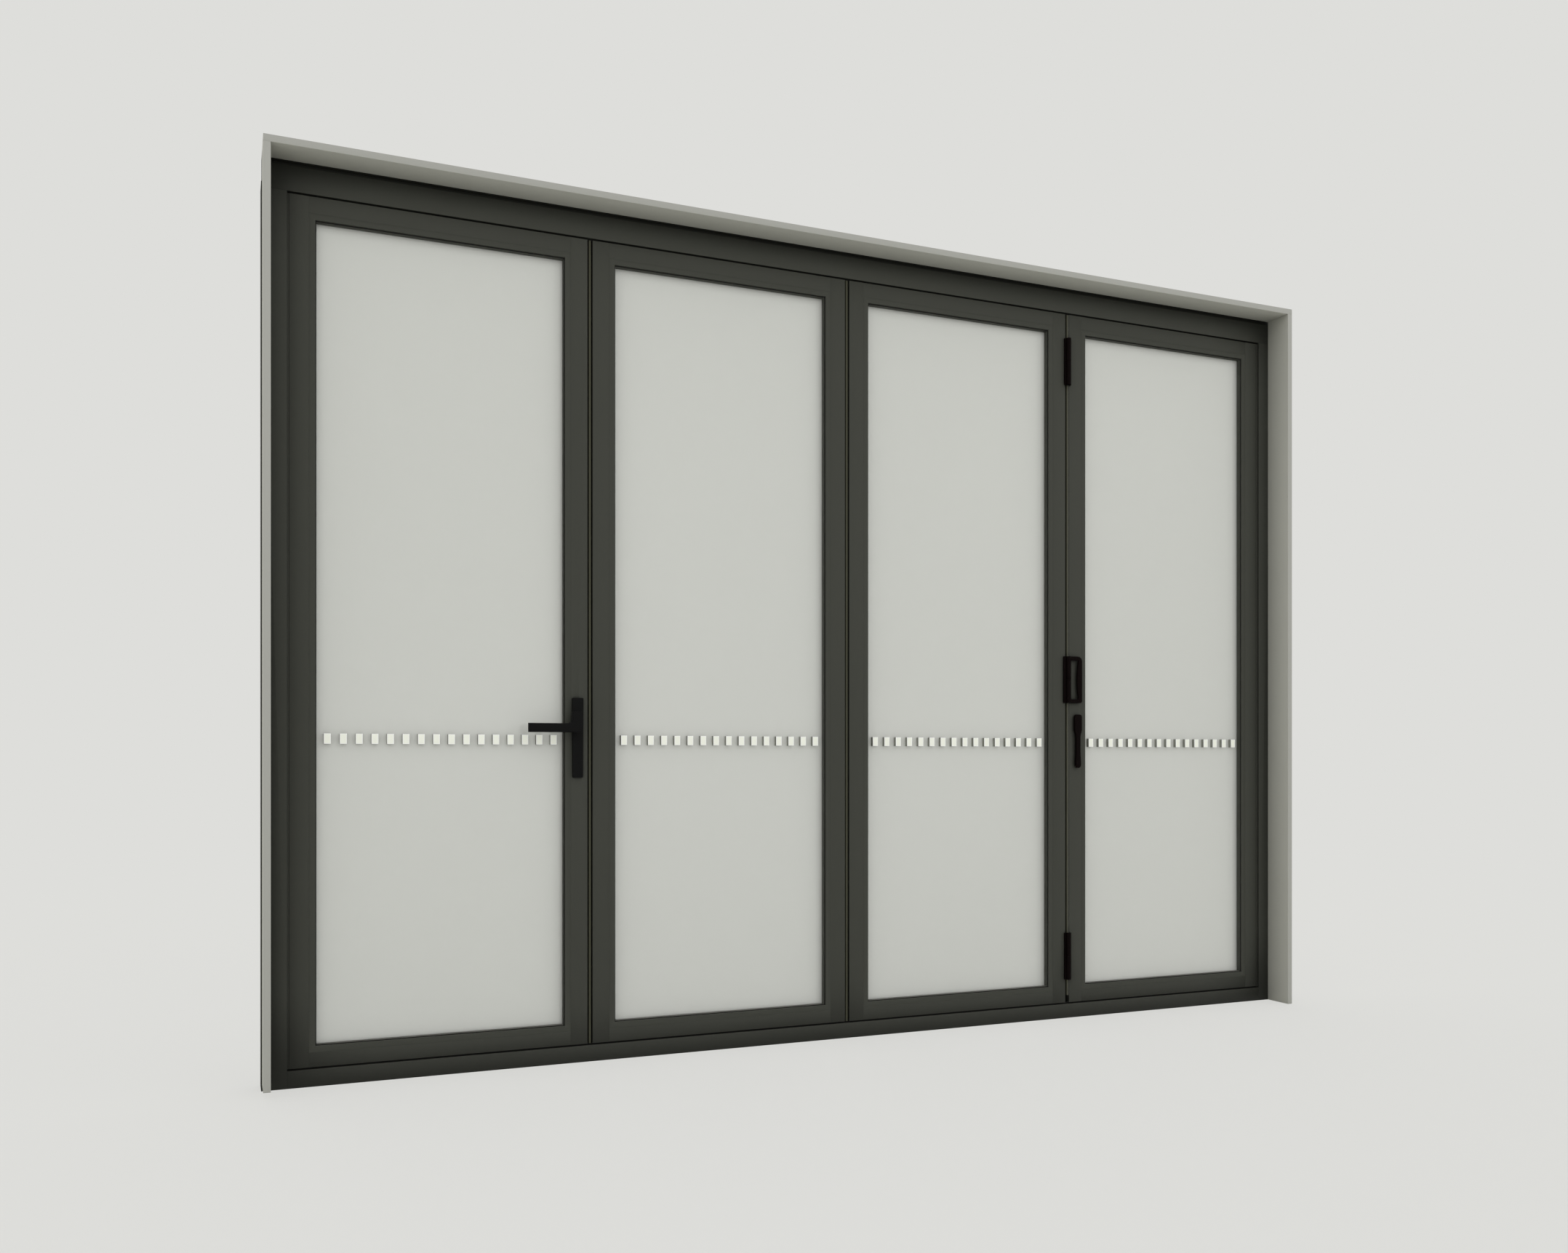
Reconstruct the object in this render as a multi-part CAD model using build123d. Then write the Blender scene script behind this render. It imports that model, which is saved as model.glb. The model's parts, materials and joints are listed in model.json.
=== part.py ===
"""A bifold glass patio door: four glazed aluminium leaves in one outer frame, in a boarded opening.

The left leaf is the traffic door, hung on the left jamb. The other three fold as a stack on the
right jamb. The origin is the middle of the sill's underside, halfway through the frame's depth.
+X runs to the right seen from the room, +Y points outdoors and +Z points up. Millimetres.
"""

import os

from build123d import *

os.makedirs("parts", exist_ok=True)

# The boarded opening
reveal_width = 3300.0
reveal_height = 2400.0
lining_thickness = 18.0
lining_depth = 96.0
left_lining_lift = 17.5

# The outer frame
frame_depth = 72.0
frame_lap = 2.5
jamb_face = 42.0
head_face = 78.0
sill_height = 45.5
shadow_groove_height = 12.0
shadow_groove_depth = 16.0
jamb_lip_height = 15.0
frame_wall = 3.0
web_spacing = 24.0
track_slot = 16.0
track_width = 36.0
track_height = 34.0
track_lip = 6.0
guide_slot = 14.0
guide_depth = 20.0

# The leaves
leaf_count = 4
leaf_recess = 2.0
leaf_end_gap = 5.0
hinge_side_gap = 5.0
stack_side_gap = 10.5
meeting_gap = 15.0
stile_width = 67.0
top_rail_width = 62.0
bottom_rail_width = 57.0
leaf_wall = 3.0
bead_width = 18.6
bead_joint = 0.3
bead_step_width = 2.6
bead_step_depth = 6.0

# The sealed glass units
glass_recess = 22.0
pane_thickness = 4.0
pane_gap = 14.0
glass_edge_clearance = 3.0
spacer_show = 1.0

# The row of markers on the glass
marker_pitch = 40.0
marker_end_space = 14.0
marker_width = 18.0
marker_height = 27.5
marker_depth = 12.0
marker_level = 906.5

# The seals
seal_clearance = 0.3
strip_width = 6.5
strip_slot = 4.5
strip_recess = 3.0
strip_depth = 16.0
web_depth = 8.0
strip_lift = 23.0
frame_seal_depth = 6.0
frame_seal_inset = 8.0

# The butt hinges
hinge_height = 153.0
low_hinge_level = 127.0
pull_hinge_level = 1037.0
top_hinge_drop = 80.0
barrel_radius = 8.0
pin_radius = 3.0
running_gap = 0.05
knuckle_gap = 0.4
flag_thickness = 5.0
room_flag_reach = 12.25
outer_flag_reach = 38.0
door_pin_inset = 2.0

# The pull handle on the middle room-side hinge
pull_reach = 52.0
pull_arm_top = 13.0
pull_arm_bottom = 12.0
pull_bar = 13.5
pull_bulge = 5.5
pull_thickness = 6.0
pull_top_corner = 16.0
pull_bottom_corner = 7.0
pull_hole_corner = 4.0

# The shoot bolt handle
bolt_inset = 28.5
bolt_level = 966.0
bolt_base_width = 20.0
bolt_base_height = 52.0
bolt_base_thickness = 5.0
bolt_head_width = 27.0
bolt_head_rise = 33.0
bolt_head_corner = 8.0
bolt_shoulder_level = -15.0
bolt_neck_level = -41.0
bolt_neck_width = 16.0
bolt_tip_width = 20.0
bolt_arm_drop = 143.0
bolt_thickness = 8.0
bolt_spindle_radius = 4.0

# The traffic door's lever set
plate_top_width = 31.0
plate_bottom_width = 28.5
plate_height = 223.0
plate_bottom_level = 801.0
plate_thickness = 8.0
plate_corner = 1.0
plate_offset = 4.3
lever_level = 939.5
lever_height = 25.0
lever_length = 142.0
lever_thickness = 12.0
lever_projection = 45.0
lever_root_rise = 45.0
lever_root_width = 28.0
lever_fillet = 13.0
lever_edge = 2.0
neck_radius = 8.0
spindle_offset = 4.0
spindle_side = 8.0
spindle_clearance = 3.0
spindle_grip = 20.0

# The carriage in the head track and the guide in the sill
carriage_length = 96.0
carriage_width = 12.0
carriage_height = 22.0
wheel_radius = 10.0
wheel_reach = 56.0
wheel_play = 0.2
wheel_side_play = 1.0
hanger_radius = 5.0
hanger_arm = 6.0
hanger_arm_height = 22.0

# Levels and faces worked out from the sizes above
frame_in = -frame_depth / 2
frame_out = frame_depth / 2
opening_half = reveal_width / 2 - jamb_face
lining_outer = reveal_width / 2 + lining_thickness
jamb_outer = lining_outer + frame_lap
head_bottom = reveal_height - head_face
head_top = reveal_height + lining_thickness
leaf_in = frame_in + leaf_recess
leaf_out = frame_out
leaf_bottom = sill_height + leaf_end_gap
leaf_top = head_bottom - leaf_end_gap
side_gaps = hinge_side_gap + stack_side_gap
leaf_width = (2 * opening_half - side_gaps - (leaf_count - 1) * meeting_gap) / leaf_count
leaf_step = leaf_width + meeting_gap
glass_in = leaf_in + glass_recess
glass_out = glass_in + 2 * pane_thickness + pane_gap
spacer_width = bead_width - glass_edge_clearance + spacer_show
marker_row_room = leaf_width - 2 * stile_width - 2 * marker_end_space - marker_width
marker_count = int(marker_row_room / marker_pitch) + 1

# Directions
RIGHT = Vector(1, 0, 0)
LEFT = Vector(-1, 0, 0)
OUTDOORS = Vector(0, 1, 0)
UP = Vector(0, 0, 1)
DOWN = Vector(0, 0, -1)


def leaf_left(number):
    """The left edge of a leaf, counted from 1 at the traffic door."""
    return -opening_half + hinge_side_gap + (number - 1) * leaf_step


def leaf_right(number):
    """The right edge of a leaf."""
    return leaf_left(number) + leaf_width


def joint_middle(number):
    """The middle of the gap to the right of a leaf."""
    return leaf_right(number) + meeting_gap / 2


def block(x, y, z):
    """A straight piece between a low and a high value along each axis."""
    middle = Pos((x[0] + x[1]) / 2, (y[0] + y[1]) / 2, (z[0] + z[1]) / 2)
    return middle * Box(x[1] - x[0], y[1] - y[0], z[1] - z[0])


def rectangle(u, v):
    """A flat rectangle between a low and a high value each way."""
    return Pos((u[0] + u[1]) / 2, (v[0] + v[1]) / 2) * Rectangle(u[1] - u[0], v[1] - v[0])


def bar(section, start, across, length):
    """Extrudes a section whose first axis points across and whose second points outdoors."""
    plane = Plane(origin=start, x_dir=across, z_dir=across.cross(OUTDOORS))
    return extrude(plane * section, amount=length)


def round_bar(radius, x, y, z):
    """An upright round bar between two levels."""
    return Pos(x, y, z[0]) * Cylinder(radius, z[1] - z[0], align=(Align.CENTER, Align.CENTER, Align.MIN))


def cross_bar(radius, x, z, y):
    """A round bar through the door's depth, between two values of Y."""
    turned = Plane(origin=(x, y[0], z), x_dir=RIGHT, z_dir=OUTDOORS)
    return extrude(turned * Circle(radius), amount=y[1] - y[0])


def save(name, *solids):
    """Writes one node, made of one solid or of several that don't touch."""
    shape = solids[0] if len(solids) == 1 else Compound(children=list(solids))
    export_step(shape, f"parts/{name}.step")


# The lining boards, which butt against the frame's room side

def lining():
    """Two side boards under one head board; the left one stops short of the floor."""
    depth = (frame_in - lining_depth, frame_in)
    inner = reveal_width / 2
    save("lining_left", block((-lining_outer, -inner), depth, (left_lining_lift, reveal_height)))
    save("lining_right", block((inner, lining_outer), depth, (0, reveal_height)))
    save("lining_head", block((-lining_outer, lining_outer), depth, (reveal_height, head_top)))


# The outer frame, of hollow extrusions

def jamb(side):
    """An upright of the frame, whose outer wall laps up past the underside of the head."""
    width = jamb_outer - opening_half
    section = rectangle((0, width), (frame_in, frame_out))
    inside = (frame_wall, width - frame_wall)
    middle = web_spacing / 2
    section -= rectangle(inside, (frame_in + frame_wall, -middle - frame_wall / 2))
    section -= rectangle(inside, (-middle + frame_wall / 2, middle - frame_wall / 2))
    section -= rectangle(inside, (middle + frame_wall / 2, frame_out - frame_wall))
    across = RIGHT if side > 0 else LEFT
    start = (side * opening_half, 0, 0 if side > 0 else head_bottom)
    post = bar(section, start, across, head_bottom)
    lip_x = sorted((side * lining_outer, side * jamb_outer))
    lip = block(lip_x, (frame_in, frame_out), (head_bottom, head_bottom + jamb_lip_height))
    return post + lip


def head():
    """The head of the frame, with the track for the carriage and a shadow groove over its face."""
    groove_low = reveal_height - shadow_groove_height
    lip_top = head_bottom + track_lip
    section = Polygon(
        (frame_in, head_bottom),
        (frame_out, head_bottom),
        (frame_out, head_top),
        (frame_in, head_top),
        (frame_in, reveal_height),
        (frame_in + shadow_groove_depth, reveal_height),
        (frame_in + shadow_groove_depth, groove_low),
        (frame_in, groove_low),
        align=None,
    )
    section -= rectangle((-track_slot / 2, track_slot / 2), (head_bottom, lip_top))
    section -= rectangle((-track_width / 2, track_width / 2), (lip_top, lip_top + track_height))
    start = Plane.YZ.offset(-lining_outer)
    return extrude(start * section, amount=2 * lining_outer)


def sill():
    """The threshold, with the channel that the bottom guide runs in."""
    floor_of_guide = sill_height - guide_depth
    section = rectangle((frame_in, frame_out), (0, sill_height))
    section -= rectangle((-guide_slot / 2, guide_slot / 2), (floor_of_guide, sill_height))
    chamber = (frame_wall, sill_height - frame_wall)
    inner = guide_slot / 2 + frame_wall
    section -= rectangle((frame_in + frame_wall, -inner), chamber)
    section -= rectangle((inner, frame_out - frame_wall), chamber)
    start = Plane.YZ.offset(-opening_half)
    return extrude(start * section, amount=2 * opening_half)


# One leaf: two stiles, two rails between them, beads, glass and markers

def member_section(width):
    """A hollow section: the body, and the outer flange that the glass seats against."""
    seat = width - bead_width
    section = Polygon(
        (0, leaf_in),
        (seat, leaf_in),
        (seat, glass_out),
        (width, glass_out),
        (width, leaf_out),
        (0, leaf_out),
        align=None,
    )
    inside = (leaf_wall, seat - leaf_wall)
    section -= rectangle(inside, (leaf_in + leaf_wall, glass_in))
    section -= rectangle(inside, (glass_in + leaf_wall, glass_out - leaf_wall))
    section -= rectangle(inside, (glass_out, leaf_out - leaf_wall))
    return section


def bead_section():
    """A square bead with a step in its room-side corner, where a dark gasket line lies."""
    section = rectangle((bead_joint, bead_width), (leaf_in, glass_in))
    step = rectangle((bead_width - bead_step_width, bead_width), (leaf_in, leaf_in + bead_step_depth))
    return section - step


def leaf_frame(number):
    """The stiles run full height. The rails butt between them, cut back round their flanges."""
    left = leaf_left(number)
    right = leaf_right(number)
    height = leaf_top - leaf_bottom
    stile = member_section(stile_width)
    rail_start = left + stile_width - bead_width
    rail_end = right - stile_width + bead_width
    rail_length = rail_end - rail_start
    left_stile = bar(stile, (left, 0, leaf_bottom), RIGHT, height)
    right_stile = bar(stile, (right, 0, leaf_top), LEFT, height)
    top_rail = bar(member_section(top_rail_width), (rail_start, 0, leaf_top), DOWN, rail_length)
    bottom_rail = bar(member_section(bottom_rail_width), (rail_end, 0, leaf_bottom), UP, rail_length)
    for flange in ((rail_start, left + stile_width), (right - stile_width, rail_end)):
        notch = block(flange, (glass_out, leaf_out), (leaf_bottom, leaf_top))
        top_rail -= notch
        bottom_rail -= notch
    return left_stile, right_stile, top_rail, bottom_rail


def glazing(number):
    """The rebate that the glass and its beads fill, as low and high values of X and Z."""
    seat = stile_width - bead_width
    x = (leaf_left(number) + seat, leaf_right(number) - seat)
    low = leaf_bottom + bottom_rail_width - bead_width
    high = leaf_top - top_rail_width + bead_width
    return x, (low, high)


def beads(number):
    """Full-width beads above and below the glass and upright ones between them."""
    (x_low, x_high), (z_low, z_high) = glazing(number)
    section = bead_section()
    across = bead_width + bead_joint
    level_length = x_high - x_low - 2 * bead_joint
    upright_length = z_high - z_low - 2 * across
    left = bar(section, (x_low, 0, z_low + across), RIGHT, upright_length)
    right = bar(section, (x_high, 0, z_high - across), LEFT, upright_length)
    top = bar(section, (x_low + bead_joint, 0, z_high), DOWN, level_length)
    bottom = bar(section, (x_high - bead_joint, 0, z_low), UP, level_length)
    return left, right, top, bottom


def glass_unit(number):
    """Two panes, and the spacer frame that holds them apart."""
    (x_low, x_high), (z_low, z_high) = glazing(number)
    x = (x_low + glass_edge_clearance, x_high - glass_edge_clearance)
    z = (z_low + glass_edge_clearance, z_high - glass_edge_clearance)
    gap = (glass_in + pane_thickness, glass_out - pane_thickness)
    inner_pane = block(x, (glass_in, gap[0]), z)
    outer_pane = block(x, (gap[1], glass_out), z)
    hole_x = (x[0] + spacer_width, x[1] - spacer_width)
    hole_z = (z[0] + spacer_width, z[1] - spacer_width)
    spacer = block(x, gap, z) - block(hole_x, gap, hole_z)
    return inner_pane, outer_pane, spacer


def markers(number):
    """A row of small raised tabs on the room side of the glass."""
    middle = (leaf_left(number) + leaf_right(number)) / 2
    first = middle - (marker_count - 1) * marker_pitch / 2
    depth = (glass_in - marker_depth, glass_in)
    level = (marker_level - marker_height / 2, marker_level + marker_height / 2)
    row = []
    for place in range(marker_count):
        x = first + place * marker_pitch
        row.append(block((x - marker_width / 2, x + marker_width / 2), depth, level))
    return row


# Seals

def meeting_seal(number):
    """The strip in the gap to the right of a leaf, webbed back to the next leaf's edge."""
    left = leaf_right(number) + strip_slot
    next_leaf = leaf_left(number + 1)
    front = leaf_in + strip_recess
    back = front + strip_depth
    is_fold = number == leaf_count - 1
    right = next_leaf if is_fold else left + strip_width
    level = (leaf_bottom + (strip_lift if is_fold else 0), leaf_top)
    strip = block((left, right), (front, back + web_depth), level)
    web = block((left, next_leaf), (back, back + web_depth), level)
    return strip + web


def frame_seals():
    """Strips fixed to the frame, just clear of the leaves' edges."""
    reach = opening_half
    depths = []
    inner = leaf_in + frame_seal_inset
    outer = leaf_out - frame_seal_inset
    depths.append((inner, inner + frame_seal_depth))
    depths.append((outer - frame_seal_depth, outer))
    strips = []
    for depth in depths:
        strips.append(block((-reach, reach), depth, (leaf_top + seal_clearance, head_bottom)))
        strips.append(block((-reach, reach), depth, (sill_height, leaf_bottom - seal_clearance)))
        side = (sill_height + leaf_end_gap, leaf_top)
        strips.append(block((-reach, leaf_left(1) - seal_clearance), depth, side))
        strips.append(block((leaf_right(leaf_count) + strip_slot, reach), depth, side))
    return strips


# Hinges

def outer_hinge(x, z, pinned=True):
    """The two halves of an outdoor hinge, whose flags lie on the leaf and whose barrel stands proud.

    The left half has the end knuckles and the pin, and the right half the middle knuckle. Each
    flag is notched beside the other's knuckles. Hinges that stay shut have no pin or bore.
    """
    y = leaf_out + barrel_radius
    low, high = z
    first = low + (high - low) / 3
    second = high - (high - low) / 3
    half_gap = knuckle_gap / 2
    depth = (leaf_out, leaf_out + flag_thickness)
    around = barrel_radius + knuckle_gap
    left = block((x - outer_flag_reach, x), depth, z)
    left -= block((x - around, x), depth, (first - half_gap, second + half_gap))
    left += round_bar(barrel_radius, x, y, (low, first - half_gap))
    left += round_bar(barrel_radius, x, y, (second + half_gap, high))
    right = block((x, x + outer_flag_reach), depth, z)
    right -= block((x, x + around), depth, (low, first + half_gap))
    right -= block((x, x + around), depth, (second - half_gap, high))
    right += round_bar(barrel_radius, x, y, (first + half_gap, second - half_gap))
    if pinned:
        right -= round_bar(pin_radius + running_gap, x, y, z)
        left += round_bar(pin_radius, x, y, z)
    return left, right


def narrow_hinge(z):
    """The two halves of a room-side hinge: narrow flags, one knuckle below and one above."""
    x = joint_middle(leaf_count - 1)
    y = leaf_in - barrel_radius
    low, high = z
    left_end = (low + high - knuckle_gap) / 2
    right_start = left_end + knuckle_gap
    depth = (leaf_in - flag_thickness, leaf_in)
    around = barrel_radius + knuckle_gap
    left = block((x - room_flag_reach, x), depth, z)
    left -= block((x - around, x), depth, (left_end, high))
    left += round_bar(barrel_radius, x, y, (low, left_end))
    right = block((x, x + room_flag_reach), depth, z)
    right -= block((x, x + around), depth, (low, right_start))
    right += round_bar(barrel_radius, x, y, (right_start, high))
    return left, right


def hinge_levels():
    """The low and high ends of the three hinges on an upright."""
    lows = (low_hinge_level, pull_hinge_level, leaf_top - top_hinge_drop - hinge_height)
    return [(low, low + hinge_height) for low in lows]


# The pull handle that swings on the middle room-side hinge

def pull_handle():
    """A loop that lies flat in front of the fourth leaf's stile, with an eye at each end."""
    x = joint_middle(leaf_count - 1)
    y = leaf_in - barrel_radius
    low, high = hinge_levels()[1]
    inner_low = low + pull_arm_bottom
    inner_high = high - pull_arm_top
    outer_x = x + pull_reach
    bar_x = outer_x - pull_bar
    hole_left = x - pull_bar
    outline = rectangle((x, outer_x), (low, high))
    corners = outline.vertices().sort_by(Axis.X)[-2:].sort_by(Axis.Y)
    outline = fillet(corners[1], pull_top_corner)
    corner = outline.vertices().sort_by(Axis.Y)[:2].sort_by(Axis.X)[-1]
    outline = fillet(corner, pull_bottom_corner)
    middle = (inner_low + inner_high) / 2
    hole_top = (bar_x, inner_high)
    hole_bottom = (bar_x, inner_low)
    hole = Polyline(hole_bottom, (hole_left, inner_low), (hole_left, inner_high), hole_top)
    grip = ThreePointArc(hole_top, (bar_x - pull_bulge, middle), hole_bottom)
    opening = make_face([hole, grip])
    corner = opening.vertices().sort_by_distance(hole_bottom)[0]
    outline -= fillet(corner, pull_hole_corner)
    front = Plane(origin=(0, y - pull_thickness / 2, 0), x_dir=RIGHT, z_dir=(0, -1, 0))
    loop = extrude(front * outline, amount=-pull_thickness)
    loop += round_bar(barrel_radius, x, y, (low, inner_low))
    loop += round_bar(barrel_radius, x, y, (inner_high, high))
    return loop - round_bar(pin_radius + running_gap, x, y, (low, high))


def pull_hinge():
    """The hinge between the pull handle's two eyes, with the ends of its pin in them."""
    x = joint_middle(leaf_count - 1)
    y = leaf_in - barrel_radius
    low, high = hinge_levels()[1]
    ends = (low + pull_arm_bottom + knuckle_gap, high - pull_arm_top - knuckle_gap)
    left, right = narrow_hinge(ends)
    left += round_bar(pin_radius, x, y, (low, ends[0]))
    right += round_bar(pin_radius, x, y, (ends[1], high))
    return left, right


# The shoot bolt handle

def bolt_handle_base():
    """The small round-ended plate that the bolt handle turns on."""
    x = leaf_left(leaf_count) + bolt_inset
    face = Plane(origin=(x, leaf_in, bolt_level), x_dir=RIGHT, z_dir=(0, -1, 0))
    outline = SlotOverall(bolt_base_height, bolt_base_width, rotation=90)
    outline -= Circle(bolt_spindle_radius + running_gap)
    return extrude(face * outline, amount=bolt_base_thickness)


def bolt_handle():
    """A flat handle: a broad head, a waisted arm below it and a rounded tip."""
    x = leaf_left(leaf_count) + bolt_inset
    head_half = bolt_head_width / 2
    tip_half = bolt_tip_width / 2
    tip_middle = tip_half - bolt_arm_drop
    top = (0, bolt_head_rise)
    corner_start = (head_half - bolt_head_corner, bolt_head_rise)
    corner_end = (head_half, bolt_head_rise - bolt_head_corner)
    shoulder = (head_half, bolt_shoulder_level)
    neck = (bolt_neck_width / 2, bolt_neck_level)
    waist = (bolt_neck_width / 2, (bolt_neck_level + tip_middle) / 2)
    tip_side = (tip_half, tip_middle)
    tip = (0, -bolt_arm_drop)
    straight_down = ((0, -1), (0, -1))
    half = make_face([
        Line(top, corner_start),
        RadiusArc(corner_start, corner_end, bolt_head_corner),
        Line(corner_end, shoulder),
        Spline(shoulder, neck, tangents=straight_down),
        Line(neck, waist),
        Spline(waist, tip_side, tangents=straight_down),
        RadiusArc(tip_side, tip, tip_half),
        Line(tip, top),
    ])
    outline = half + mirror(half, about=Plane.YZ)
    start = leaf_in - bolt_base_thickness - knuckle_gap
    face = Plane(origin=(x, start, bolt_level), x_dir=RIGHT, z_dir=(0, -1, 0))
    handle = extrude(face * outline, amount=bolt_thickness)
    return handle + cross_bar(bolt_spindle_radius, x, bolt_level, (start, leaf_in))


# The lever set

def plate_middle():
    """The middle of the lever's plate, a little towards the edge from the stile's middle."""
    return leaf_right(1) - stile_width / 2 + plate_offset


def spindle_x():
    """The lever's axis, a little to the left of its plate's middle."""
    return plate_middle() - spindle_offset


def lever_plate():
    """A long slim plate that narrows towards its foot, with a bearing for the lever's neck."""
    outline = Polygon(
        (-plate_bottom_width / 2, 0),
        (plate_bottom_width / 2, 0),
        (plate_top_width / 2, plate_height),
        (-plate_top_width / 2, plate_height),
        align=None,
    )
    outline = chamfer(outline.vertices(), plate_corner)
    face = Plane(origin=(plate_middle(), leaf_in, plate_bottom_level), x_dir=RIGHT, z_dir=(0, -1, 0))
    plate = extrude(face * outline, amount=plate_thickness)
    front = leaf_in - plate_thickness
    return plate - cross_bar(neck_radius + running_gap, spindle_x(), lever_level, (front, leaf_in))


def lever():
    """A flat lever with a short root standing up over its neck, joined by a hollow fillet."""
    x = spindle_x()
    right = neck_radius
    left = -lever_length
    root_left = right - lever_root_width
    half = lever_height / 2
    outline = Polygon(
        (left, -half),
        (right, -half),
        (right, lever_root_rise),
        (root_left, lever_root_rise),
        (root_left, half),
        (left, half),
        align=None,
    )
    inner = outline.vertices().sort_by_distance((root_left, half))[0]
    outline = fillet(inner, lever_fillet)
    front = leaf_in - lever_projection
    back = front + lever_thickness
    face = Plane(origin=(x, back, lever_level), x_dir=RIGHT, z_dir=(0, -1, 0))
    grip = extrude(face * outline, amount=lever_thickness)
    grip = chamfer(grip.faces().sort_by(Axis.Y)[0].edges(), lever_edge)
    grip += cross_bar(neck_radius, x, lever_level, (back, leaf_in))
    return grip - spindle()


def spindle():
    """The square bar that joins the levers on the two sides of the door."""
    x = spindle_x()
    half = spindle_side / 2
    depth = (leaf_in - spindle_grip, leaf_out + spindle_grip)
    return block((x - half, x + half), depth, (lever_level - half, lever_level + half))


def spindle_slot():
    """The square hole through the stile that the spindle turns in."""
    x = spindle_x()
    half = spindle_side / 2 + spindle_clearance
    return block((x - half, x + half), (leaf_in, leaf_out), (lever_level - half, lever_level + half))


def outdoors(shape):
    """The twin of a room-side piece on the leaf's outer face."""
    return mirror(shape, about=Plane.XZ.offset(-(leaf_in + leaf_out) / 2))


# The carriage that hangs the folding stack and the guide below it

def top_carriage():
    """A trolley on two axles, with a hanger that reaches down and out to the top hinge's pin."""
    x = joint_middle(2)
    wheel_z = head_bottom + track_lip + wheel_play + wheel_radius
    body_z = (wheel_z - carriage_height / 2, wheel_z + carriage_height / 2)
    half = carriage_length / 2
    body = block((x - half, x + half), (-carriage_width / 2, carriage_width / 2), body_z)
    reach = track_width / 2 - wheel_side_play
    for place in (-wheel_reach / 2, wheel_reach / 2):
        body += cross_bar(wheel_radius, x + place, wheel_z, (-reach, reach))
    arm_low = hinge_levels()[2][1] + knuckle_gap
    arm_z = (arm_low, arm_low + hanger_arm_height)
    hanger = round_bar(hanger_radius, x, 0, (arm_low, wheel_z))
    return body + hanger + hanger_reach(x, arm_z)


def hanger_reach(x, z):
    """The arm through the gap between two leaves, with an eye in line with their hinges."""
    y = leaf_out + barrel_radius
    arm = block((x - hanger_arm / 2, x + hanger_arm / 2), (0, y), z)
    return arm + round_bar(barrel_radius, x, y, z)


def bottom_guide():
    """A guide pin in the sill's channel, held by an arm from the lowest hinge."""
    x = joint_middle(2)
    arm_high = hinge_levels()[0][0] - knuckle_gap
    arm_z = (arm_high - hanger_arm_height, arm_high)
    pin = round_bar(hanger_radius, x, 0, (sill_height - guide_depth + wheel_play, arm_high))
    return pin + hanger_reach(x, arm_z)


def write_frame():
    """The lining, the outer frame and its seals."""
    lining()
    save("frame_left_jamb", jamb(-1))
    save("frame_right_jamb", jamb(1))
    save("frame_head", head())
    save("frame_sill", sill())
    save("frame_seals", *frame_seals())


def write_leaves():
    """Every leaf, from the traffic door at the left to the last of the stack."""
    for number in range(1, leaf_count + 1):
        left_stile, right_stile, top_rail, bottom_rail = leaf_frame(number)
        if number == 1:
            right_stile -= spindle_slot()
        inner_pane, outer_pane, spacer = glass_unit(number)
        save(f"leaf_{number}_stiles", left_stile, right_stile)
        save(f"leaf_{number}_rails", top_rail, bottom_rail)
        save(f"leaf_{number}_beads", *beads(number))
        save(f"leaf_{number}_glass", inner_pane, outer_pane)
        save(f"leaf_{number}_spacer", spacer)
    save("door_markers", *markers(1))
    save("stack_markers", *[tab for number in range(2, leaf_count + 1) for tab in markers(number)])
    save("meeting_seals", *[meeting_seal(number) for number in range(1, leaf_count)])


def write_hinges():
    """The door's hinges, the stack's hinges and what carries the stack."""
    levels = hinge_levels()
    door_pin = -opening_half + door_pin_inset
    frame_halves = []
    door_halves = []
    stack_hinges = []
    fold_hinges = []
    for z in levels:
        left, right = outer_hinge(door_pin, z)
        frame_halves.append(left)
        door_halves.append(right)
        stack_hinges += outer_hinge(joint_middle(2), z, pinned=False)
        last = (leaf_right(leaf_count) + opening_half) / 2
        stack_hinges += outer_hinge(last, z, pinned=False)
    for z in (levels[0], levels[2]):
        fold_hinges += narrow_hinge(z)
    save("door_hinge_frame_halves", *frame_halves)
    save("door_hinge_leaf_halves", *door_halves)
    save("stack_hinges", *stack_hinges)
    save("fold_hinges", *fold_hinges)
    save("pull_hinge", *pull_hinge())
    save("top_carriage", top_carriage())
    save("bottom_guide", bottom_guide())


def write_handles():
    """The lever set on the traffic door, and the stack's pull and bolt handles."""
    plate = lever_plate()
    grip = lever()
    save("lever_plates", plate, outdoors(plate))
    save("inside_lever", grip)
    save("outside_lever", outdoors(grip))
    save("lever_spindle", spindle())
    save("pull_handle", pull_handle())
    save("bolt_handle_base", bolt_handle_base())
    save("bolt_handle", bolt_handle())


write_frame()
write_leaves()
write_hinges()
write_handles()
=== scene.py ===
"""Looks for a bifold glass patio door: coated aluminium, boarded reveal, glass, seals and handles."""

import json
import math

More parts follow.
